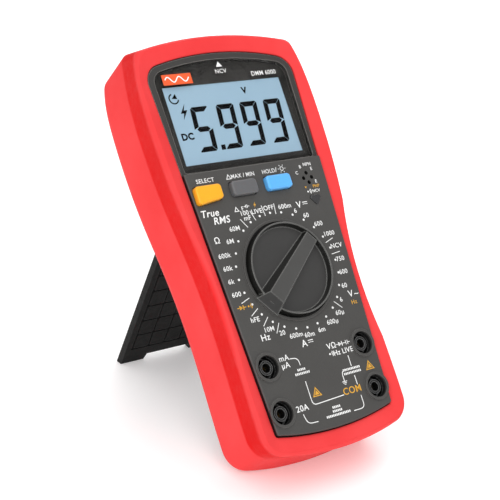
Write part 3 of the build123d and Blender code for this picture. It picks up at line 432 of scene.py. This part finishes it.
def dark_lens():
    """Dark tinted glossy lens."""
    shader = Shader("dark_lens")
    tint = shader.ramp(shader.noise(200), (0.018, 0.018, 0.019), (0.024, 0.024, 0.026))
    shader.set(Base_Color=tint, Roughness=shader.span(shader.noise(500), 0.08, 0.16))
    return shader.set(Coat_Weight=0.6, Coat_Roughness=0.05)


def contact_rubber():
    """Contact rubber with narrow conducting layers across it."""
    shader = Shader("contact_rubber")
    wave = shader.texture("ShaderNodeTexWave", 900).outputs["Fac"]
    stripes = shader.ramp(wave, (0.02, 0.02, 0.02), (0.5, 0.5, 0.52), 0.45, 0.55)
    return shader.set(Base_Color=stripes, Roughness=shader.span(shader.noise(400), 0.5, 0.7))


def board_laminate():
    """Green solder mask with the faint pattern of copper tracks beneath it."""
    shader = Shader("board_laminate")
    bricks = shader.texture("ShaderNodeTexBrick", 260)
    bricks.inputs["Mortar Size"].default_value = 0.03
    tracks = bricks.outputs["Fac"]
    mask = shader.mix(tracks, (0.012, 0.10, 0.04), (0.03, 0.20, 0.08))
    shader.set(Base_Color=mask, Roughness=shader.span(shader.noise(250), 0.25, 0.4))
    return shader.relief(tracks, 0.00003)


def cell_jacket():
    """Printed film round the cells, with one end in a second colour."""
    shader = Shader("cell_jacket")
    axes = shader.node("ShaderNodeSeparateXYZ")
    shader.feed(shader.place, axes.inputs[0])
    band = shader.span(axes.outputs["X"], 0.0, 1.0, 0.0100, 0.0102)
    body = shader.mix(band, (0.02, 0.03, 0.06), (0.55, 0.30, 0.10))
    shader.set(Base_Color=body, Roughness=shader.span(shader.noise(90), 0.28, 0.42))
    return shader.relief(shader.noise(700), 0.00002)


LINES_ACROSS_X = (12, 1, 1)     # densities of a metal's grain
LINES_ACROSS_Z = (1, 1, 12)
shaders = [
    boot_rubber(),
    panel_plastic(),
    knob_plastic(),
    stand_plastic(),
    jack_plastic(),
    clear_window(),
    lcd_panel(),
    display_ink(),
    clear_resin(),
    dark_lens(),
    contact_rubber(),
    board_laminate(),
    cell_jacket(),
    silicone("yellow_silicone", (0.90, 0.40, 0.004), (0.95, 0.52, 0.03)),
    silicone("grey_silicone", (0.105, 0.105, 0.11), (0.18, 0.18, 0.19)),
    silicone("blue_silicone", (0.10, 0.43, 0.88), (0.25, 0.58, 0.95)),
    moulded(
        "rear_plastic", (0.045, 0.044, 0.043), 0.52, 2400, 0.00006, 0.0005, (0.09, 0.09, 0.09)
    ),
    moulded("window_print", (0.036, 0.034, 0.031), 0.6, 2400, 0.000002, spread=0.05),
    moulded("light_guide", (0.80, 0.86, 0.92), 0.3, 1500, 0.00002),
    moulded("white_plastic", (0.78, 0.78, 0.74), 0.42, 2000, 0.00003),
    moulded("white_print", (0.86, 0.86, 0.85), 0.5, 4000, 0.00001),
    moulded("amber_print", (0.68, 0.35, 0.035), 0.5, 4000, 0.00001),
    moulded("orange_print", (0.78, 0.10, 0.02), 0.45, 4000, 0.00001),
    moulded("switch_body", (0.03, 0.03, 0.03), 0.45, 2600, 0.00004),
    moulded("chip_body", (0.02, 0.02, 0.02), 0.55, 3600, 0.00004),
    moulded("disc_coating", (0.55, 0.27, 0.05), 0.4, 900, 0.00010),
    moulded("fuse_ceramic", (0.74, 0.72, 0.66), 0.45, 1800, 0.00005),
    metal("spring_steel", (0.62, 0.62, 0.60), 0.28),
    metal("plated_contact", (0.83, 0.62, 0.28), 0.26),
    metal("capacitor_can", (0.70, 0.71, 0.73), 0.3, LINES_ACROSS_Z),
    metal("shunt_wire", (0.72, 0.46, 0.30), 0.3, LINES_ACROSS_X),
    metal("screw_steel", (0.50, 0.50, 0.52), 0.33),
    metal("brass_contact", (0.70, 0.56, 0.30), 0.35),
]
materials = {shader.name: shader.material for shader in shaders}

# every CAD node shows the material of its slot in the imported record
slot_of = {part["node"]: part["material_slot"] for part in frame["record"]["subparts"]}
for node_name, cad_object in nodes.items():
    cad_object.data.materials.clear()
    cad_object.data.materials.append(materials[slot_of[node_name]])


# ================================================================ printed pieces
def around(centre, radius, angle):
    """A point round a centre, at an angle from the top, clockwise, in degrees."""
    return centre[0] + radius * sin(radians(angle)), centre[1] + radius * cos(radians(angle))


def on_dial(radius, angle):
    """A point round the dial's centre."""
    return around((0, 0), radius, angle)


class Sheet:
    """Flat outlines gathered at one height, then made into one thin printed piece."""

    def __init__(self, height, thickness=PRINT_THICKNESS):
        self.mesh = bmesh.new()
        self.height = height
        self.thickness = thickness

    def outline(self, points):
        """A filled outline through these points."""
        self.mesh.faces.new([self.mesh.verts.new((x, y, 0)) for x, y in points])

    def rectangle(self, left, foot, width, height):
        """A filled rectangle from its lower left corner."""
        right, top = left + width, foot + height
        self.outline([(left, foot), (right, foot), (right, top), (left, top)])

    def disc(self, centre, radius, sides=20):
        """A filled disc."""
        self.outline([around(centre, radius, 360 * k / sides) for k in range(sides)])

    def line(self, points, width, closed=False):
        """A band of even width along a line of points."""
        points = [Vector(point) for point in points]
        count = len(points)
        corners = []
        for index, point in enumerate(points):
            directions = []
            if index > 0 or closed:
                directions.append((point - points[index - 1]).normalized())
            if index < count - 1 or closed:
                directions.append((points[(index + 1) % count] - point).normalized())
            along = sum(directions, Vector((0, 0))).normalized()
            # the band's corners reach further out than its edges, so that it keeps its width
            reach = width / 2 / max(along.dot(directions[-1]), SHARPEST_TURN)
            side = Vector((-along.y, along.x)) * reach
            corners.append([self.mesh.verts.new((*rail, 0)) for rail in (point + side, point - side)])
        for index in range(count if closed else count - 1):
            left, right = corners[index]
            next_left, next_right = corners[(index + 1) % count]
            self.mesh.faces.new((left, right, next_right, next_left))

    def text(self, words, centre, cap, slant=0.0, stretch=1.0, weight=PRINT_WEIGHT):
        """Letters centred on a point, with capitals of the given height."""
        curve = bpy.data.curves.new("letters", "FONT")
        curve.body = words
        curve.align_x = "CENTER"
        curve.size = cap / FONT_CAP
        curve.offset = weight * curve.size
        curve.space_character = PRINT_SPACING
        curve.shear = slant
        curve.resolution_u = LETTER_STEPS
        letters = bpy.data.objects.new("letters", curve)
        bpy.context.scene.collection.objects.link(letters)
        bpy.context.view_layer.update()
        flat = bpy.data.meshes.new_from_object(letters)
        bpy.data.objects.remove(letters)
        place = Matrix.Translation((centre[0], centre[1] - cap / 2, 0))
        flat.transform(place @ Matrix.Diagonal((stretch, 1, 1, 1)))
        self.mesh.from_mesh(flat)
        bpy.data.meshes.remove(flat)

    def finish(self, name, slot, colour=None):
        """Thickens the outlines and makes them one piece, in its slot's material or another."""
        for vertex in self.mesh.verts:
            vertex.co.z = self.height
        flat_faces = list(self.mesh.faces)
        bmesh.ops.recalc_face_normals(self.mesh, faces=flat_faces)
        for face in flat_faces:
            if face.normal.z < 0:
                face.normal_flip()
        grown = bmesh.ops.extrude_face_region(self.mesh, geom=flat_faces)
        for item in grown["geom"]:
            if isinstance(item, bmesh.types.BMVert):
                item.co.z += self.thickness
        bmesh.ops.recalc_face_normals(self.mesh, faces=self.mesh.faces)

        data = bpy.data.meshes.new(name)
        self.mesh.to_mesh(data)
        self.mesh.free()
        data.transform(case_to_row)
        for polygon in data.polygons:
            polygon.use_smooth = False
        data.materials.append(materials[colour or slot])
        piece = bpy.data.objects.new(name, data)
        bpy.context.scene.collection.objects.link(piece)
        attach(piece, "meter")


# ---------------------------------------------------------------- signs
def diode(sheet, centre):
    """The sign for a diode."""
    x, y = centre
    sheet.outline([(x - 1.0, y + 0.9), (x - 1.0, y - 0.9), (x + 0.7, y)])
    sheet.line([(x + 0.85, y + 1.0), (x + 0.85, y - 1.0)], SOCKET_LINE)
    sheet.line([(x - 2.2, y), (x + 2.2, y)], SIGN_LINE)


def capacitor(sheet, centre, scale=1.0):
    """The sign for a capacitor: two plates, with a wire to each."""
    x, y = centre
    for side in (-1, 1):
        plate = x + 0.45 * scale * side
        sheet.line([(plate, y - 0.9 * scale), (plate, y + 0.9 * scale)], SIGN_LINE)
        sheet.line([(plate, y), (plate + 1.3 * scale * side, y)], SIGN_LINE)


def buzz(sheet, centre):
    """The sign for a sound: a dot and two arcs on its right."""
    x, y = centre
    sheet.disc((x - 0.4, y), 0.4)
    for reach in (0.8, 1.4):
        sheet.line([around(centre, reach, angle) for angle in range(40, 141, 20)], FINE_LINE)


def direct_current(sheet, centre):
    """The sign for direct current: a straight line over a dashed one."""
    x, y = centre
    sheet.line([(x - 1.3, y + 0.35), (x + 1.3, y + 0.35)], CURRENT_LINE)
    for dash in (-0.95, 0.0, 0.95):
        sheet.line([(x + dash - 0.3, y - 0.5), (x + dash + 0.3, y - 0.5)], CURRENT_LINE)


def earth(sheet, top):
    """The sign for earth: three lines, each shorter than the one above."""
    x, y = top
    for bar, half in enumerate((1.3, 0.9, 0.45)):
        sheet.line([(x - half, y - 0.6 * bar), (x + half, y - 0.6 * bar)], EARTH_LINE)


def triangle(sheet, centre, half_width, half_height, line_width):
    """An open triangle that stands on its side."""
    x, y = centre
    foot = y - half_height
    corners = [(x - half_width, foot), (x, y + half_height), (x + half_width, foot)]
    sheet.line(corners, line_width, closed=True)


def lamp(sheet, centre):
    """The sign for light: a ring with six rays."""
    sheet.line([around(centre, 0.85, angle) for angle in range(0, 360, 30)], FINE_LINE, closed=True)
    for angle in range(30, 390, 60):
        sheet.line([around(centre, 1.4, angle), around(centre, 2.0, angle)], FINE_LINE)


def bolt(sheet, centre, width, height):
    """The sign for high voltage."""
    shape = [(0.6, 1.5), (-0.85, -0.25), (-0.1, -0.25), (-0.6, -1.5), (0.85, 0.3), (0.05, 0.3)]
    sheet.outline([(centre[0] + width * x, centre[1] + height * y) for x, y in shape])


def timer(sheet, centre):
    """The sign for automatic switching off: an open ring that ends in an arrow head."""
    x, y = centre
    sheet.line([around(centre, 2.2, angle) for angle in range(105, 346, 15)], TIMER_LINE)
    sheet.outline([(x - 0.9, y + 0.1), (x + 1.7, y - 0.2), (x + 1.2, y + 2.2)])


def note(sheet, centre, rows):
    """Rows of plain blocks in place of small print; rows says how many blocks each has."""
    for row, count in enumerate(rows):
        for block in range(count):
            left = centre[0] + (block - count / 2) * BLOCK_PITCH[0]
            sheet.rectangle(left, centre[1] - BLOCK_PITCH[1] * row, *BLOCK_SIZE)


def rounded(points):
    """The same run of points with each inner corner turned on an arc."""
    run = [Vector(points[0])]
    for before, corner, after in zip(points, points[1:], points[2:]):
        corner = Vector(corner)
        start = corner + (Vector(before) - corner).normalized() * CORNER
        end = corner + (Vector(after) - corner).normalized() * CORNER
        for share in (0.0, 0.25, 0.5, 0.75, 1.0):
            run.append(start.lerp(corner, share).lerp(corner.lerp(end, share), share))
    run.append(Vector(points[-1]))
    return run


# ---------------------------------------------------------------- white print of the panel
RANGES = [                  # label and its centre, in dial radii, clockwise from the top
    ("OFF", 0.00, 1.095), ("600m", 0.33, 1.075), ("6", 0.515, 0.965), ("60", 0.70, 0.855),
    ("600", 0.895, 0.675), ("1000", 1.045, 0.475), ("NCV", 1.115, 0.245), ("750", 1.105, 0.01),
    ("600", 1.08, -0.22), ("60", 1.005, -0.455), ("6", 0.845, -0.675), ("60µ", 0.735, -0.88),
    ("600µ", 0.53, -1.00), ("6m", 0.265, -1.085), ("60m", 0.0, -1.115), ("600m", -0.26, -1.075),
    ("20", -0.51, -0.985), ("10M", -0.735, -0.88), ("hFE", -0.935, -0.68), ("600", -1.13, -0.22),
    ("6k", -1.155, 0.0), ("60k", -1.14, 0.22), ("600k", -1.125, 0.435), ("6M", -0.935, 0.65),
    ("60M", -0.775, 0.845), ("100", -0.50, 1.075), ("mF", -0.47, 0.985), ("LIVE", -0.25, 1.07),
]
DIVIDERS = (-3, -2, -1, 0, 5, 6, 10, 16, 17, 18, 19)  # ticks lie half a step after these
DIVIDER_ENDS = (0.97 * DIAL_RADIUS, 1.155 * DIAL_RADIUS)

white = Sheet(PANEL_Z)
for label, x, y in RANGES:
    white.text(label, (x * DIAL_RADIUS, y * DIAL_RADIUS), RANGE_CAP)
for position in range(POSITIONS):
    white.disc(on_dial(DIAL_RADIUS, position * STEP), DOT_RADIUS)
for position in DIVIDERS:
    white.line([on_dial(end, (position + 0.5) * STEP) for end in DIVIDER_ENDS], SIGN_LINE)

# words, centre and height of a capital
PANEL_LABELS = [
    ("V", (15.9, 26.9), 3.0), ("V", (27.4, -15.6), 3.0), ("A", (-4.0, -31.4), 3.0),
    ("Hz", (-21.6, -25.2), 2.8), ("Ω", (-29.8, 17.8), 2.7), ("F", (-12.9, 29.3), 1.8),
    ("SELECT", (-26.5, KEY_LABEL_Y), KEY_LABEL_CAP),
    ("C", (20.3, 40.9), 1.5), ("B", (23.0, 43.4), 1.5), ("E", (28.6, 41.9), 1.5),
    ("E", (29.0, 36.0), 1.5), ("NPN", (27.0, 44.2), 1.5), ("NCV", (27.4, 31.8), 1.4),
    ("mA", (-16.2, -35.2), 2.5), ("µA", (-16.4, -38.2), 2.5), ("20A", (-15.0, -56.6), 2.6),
    ("VΩ", (8.8, -35.2), 2.5),
]
for words, centre, cap in PANEL_LABELS:
    white.text(words, centre, cap)
white.text("MAX / MIN", (-7.5, KEY_LABEL_Y), KEY_LABEL_CAP, stretch=NARROW)
white.text("HOLD", (6.0, KEY_LABEL_Y), KEY_LABEL_CAP, stretch=NARROW)
white.text("Hz LIVE", (13.9, -38.5), 2.3, stretch=0.95)
white.text("~", (30.4, -15.9), 2.6, stretch=1.2)
white.text("True", (-29.3, 29.6), 3.1, slant=ITALIC, weight=BOLD_WEIGHT)
white.text("RMS", (-24.7, 26.0), 3.1, slant=ITALIC, weight=BOLD_WEIGHT)

white.line([(9.7, 42.6), (10.4, 44.8)], SIGN_LINE)      # stroke between HOLD and the lamp
lamp(white, (13.2, 43.8))
triangle(white, (-14.8, 43.65), 1.1, 0.95, CURRENT_LINE)
triangle(white, (-15.9, 29.3), 1.0, 0.9, SIGN_LINE)
capacitor(white, (-10.6, 29.9), 0.8)
capacitor(white, (17.05, -35.4))
diode(white, (13.6, -35.4))
earth(white, (9.6, -51.0))
direct_current(white, (19.3, 27.2))
direct_current(white, (-0.6, -31.1))
buzz(white, (23.4, 31.8))
buzz(white, (7.2, -38.5))

# lines that join the labels of the sockets
SOCKET_LINES = [
    [(-13.4, -36.2), (-9.4, -36.6), (-9.4, -39.8)],
    [(-9.4, -46.6), (-9.4, -56.8), (7.2, -56.2)],
    [(15.5, -40.9), (15.5, -45.6)],
    [(15.5, -49.6), (15.5, -53.6)],
    [(15.5, -58.2), (15.5, -63.6), (9.6, -63.6)],
    [(-15.4, -59.2), (-14.6, -63.4), (-9.4, -63.6)],
    [(12.6, -46.4), (9.6, -46.4), (9.6, -50.9)],
]
for points in SOCKET_LINES:
    white.line(rounded(points), SOCKET_LINE)
note(white, (-9.4, -42.0), (5, 9))
note(white, (1.6, -60.4), (5, 6, 15))
note(white, (15.2, -47.0), (11, 11))
white.finish("panel_print_white", "white_print")

# ---------------------------------------------------------------- amber print of the panel
amber = Sheet(PANEL_Z)
amber.text("COM", (12.0, -55.0), 3.0)
amber.text("Hz", (27.8, -19.4), 1.9)
amber.text("PNP", (28.2, 33.9), 1.4)
amber.outline([(22.0, 34.2), (22.5, 33.3), (23.0, 34.2)])
for x, y in ((-5.8, -52.0), (24.7, -47.2)):     # a small triangle inside an open one
    triangle(amber, (x, y + 0.1), 2.0, 1.7, WARNING_LINE)
    amber.outline([(x - 1.1, y - 1.1), (x + 1.1, y - 1.1), (x, y + 0.8)])
bolt(amber, (-6.3, 30.0), 0.85, 0.85)
diode(amber, (-28.2, -11.4))
buzz(amber, (-24.4, -11.4))
amber.finish("panel_print_amber", "white_print", colour="amber_print")

# ---------------------------------------------------------------- print on the window
heading = Sheet(WINDOW_Z)
heading.outline([(-1.6, 93.9), (1.6, 93.9), (0.0, 96.3)])
heading.text("NCV", (0.0, 91.9), 2.0)
heading.text("DMM 6000", (22.0, 89.4), 2.2, stretch=NARROW)
heading.finish("window_print_white", "white_print")

badge = Sheet(WINDOW_Z, THIN_PRINT)
badge.rectangle(-30.2, 87.5, 14.6, 4.8)
badge.finish("window_badge", "window_print", colour="orange_print")

WAVE_LEFT, WAVE_Y = -29.0, 89.9
WAVE_HEIGHT = 1.2
WAVE_PITCH = 0.24           # from point to point along the badge
WAVE_PERIOD = 24            # points to a full wave
WAVE_POINTS = 51
wave = Sheet(WINDOW_Z + PRINT_THICKNESS)
wave.line([
    (WAVE_LEFT + WAVE_PITCH * k, WAVE_Y + WAVE_HEIGHT * sin(2 * pi * k / WAVE_PERIOD))
    for k in range(WAVE_POINTS)
], WAVE_LINE)
wave.finish("window_badge_wave", "white_print")

# ---------------------------------------------------------------- display segments
LEFT, RIGHT, UP, DOWN = (-1, 0), (1, 0), (0, 1), (0, -1)
SEGMENTS = {"5": "afgcd", "9": "abfgcd"}
READING = "5999"
display = Sheet(GLASS_Z, THIN_PRINT)


def slanted_outline(points):
    """An outline of the display whose points lean to the right with their height."""
    display.outline([(x + DIGIT_SLANT * (y - DIGIT_FOOT), y) for x, y in points])


def middle_bar(start, end):
    """The bar across a digit's middle, pointed at both ends."""
    half = SEGMENT_WIDTH / 2
    (x0, y), (x1, _) = start, end
    x0, x1 = x0 + SEGMENT_GAP, x1 - SEGMENT_GAP
    slanted_outline([
        (x0, y), (x0 + half, y - half), (x1 - half, y - half),
        (x1, y), (x1 - half, y + half), (x0 + half, y + half),
    ])


def rim_bar(start, end, outward, corners):
    """A bar on a digit's rim; corners says at which ends it is mitred around a corner."""
    start, end, outward = Vector(start), Vector(end), Vector(outward)
    along = (end - start).normalized()
    half = SEGMENT_WIDTH / 2
    ends = []
    for place, inwards, at_corner in ((start, along, corners[0]), (end, -along, corners[1])):
        place = place + inwards * SEGMENT_GAP
        points = [place + outward * half, place - outward * half + inwards * half]
        if at_corner:
            points[0] -= inwards * half * CORNER_SHARPNESS
            points.insert(1, place + (outward - inwards) * half * (1 + CORNER_SHARPNESS) / 2)
        ends.append(points)
    slanted_outline(ends[0] + ends[1][::-1])


def digit(left, figure):
    """A seven-segment figure whose lower left corner is at the given place."""
    half = SEGMENT_WIDTH / 2
    x0, x1 = left + half, left + DIGIT_SIZE[0] - half
    y0, y2 = DIGIT_FOOT + half, DIGIT_FOOT + DIGIT_SIZE[1] - half
    y1 = (y0 + y2) / 2
    rim = {
        "a": ((x0, y2), (x1, y2), UP, (True, True)),
        "b": ((x1, y1), (x1, y2), RIGHT, (False, True)),
        "c": ((x1, y0), (x1, y1), RIGHT, (True, False)),
        "d": ((x0, y0), (x1, y0), DOWN, (True, True)),
        "f": ((x0, y1), (x0, y2), LEFT, (False, True)),
    }
    for bar in SEGMENTS[figure]:
        if bar == "g":
            middle_bar((x0, y1), (x1, y1))
        else:
            rim_bar(*rim[bar])


for left, figure in zip(DIGIT_LEFT, READING):
    digit(left, figure)
point_right, point_top = POINT_LEFT + POINT_SIZE[0], DIGIT_FOOT + POINT_SIZE[1]
slanted_outline([
    (POINT_LEFT, DIGIT_FOOT), (point_right, DIGIT_FOOT),
    (point_right, point_top), (POINT_LEFT, point_top),
])
display.text("V", (10.2, 82.8), 2.9, weight=DISPLAY_WEIGHT)
display.text("DC", (-25.3, 64.8), 3.0, weight=DISPLAY_WEIGHT)
bolt(display, (-23.3, 75.7), 2.1, 2.4)
timer(display, (-26.3, 82.0))
display.finish("display_segments", "lcd_panel", colour="display_ink")

# ================================================================ studio
floor_mesh = bmesh.new()
bmesh.ops.create_grid(floor_mesh, x_segments=2, y_segments=2, size=FLOOR_SIZE / 2)
floor_data = bpy.data.meshes.new("studio_floor")
floor_mesh.to_mesh(floor_data)
floor_mesh.free()
floor = bpy.data.objects.new("studio_floor", floor_data)
bpy.context.scene.collection.objects.link(floor)
floor_paint = Shader("studio_floor")
floor_paint.set(Base_Color=(0.93, 0.93, 0.93), Roughness=0.9, Specular_IOR_Level=0.1)
floor_paint.set(Emission_Color=(1, 1, 1), Emission_Strength=FLOOR_GLOW)
floor_data.materials.append(floor_paint.material)

world = bpy.data.worlds.new("studio")
world.use_nodes = True
sky = world.node_tree.nodes["Background"]
sky.inputs["Color"].default_value = (1, 1, 1, 1)
sky.inputs["Strength"].default_value = SKY_STRENGTH
bpy.context.scene.world = world
bpy.context.scene.view_settings.view_transform = "Standard"

for name, place, aim, size, power in LIGHTS:
    light = bpy.data.lights.new(name, "AREA")
    light.size = size
    light.energy = power
    softbox = bpy.data.objects.new(name, light)
    softbox.location = place
    softbox.rotation_euler = (Vector(aim) - Vector(place)).to_track_quat("-Z", "Y").to_euler()
    bpy.context.scene.collection.objects.link(softbox)

# ================================================================ camera
camera_data = bpy.data.cameras.new("camera")
camera_data.lens = CAMERA_LENS
camera_data.clip_start = CAMERA_NEAREST
camera = bpy.data.objects.new("camera", camera_data)
bpy.context.scene.collection.objects.link(camera)
right = Vector(CAMERA_RIGHT).normalized()
up = -Vector(CAMERA_DOWN).normalized()
camera_axes = Matrix((right, up, right.cross(up))).transposed()
camera_turn = case_to_row.to_3x3().normalized() @ camera_axes
camera.matrix_world = Matrix.Translation(case_to_row @ Vector(CAMERA_PLACE)) @ camera_turn.to_4x4()
bpy.context.scene.camera = camera
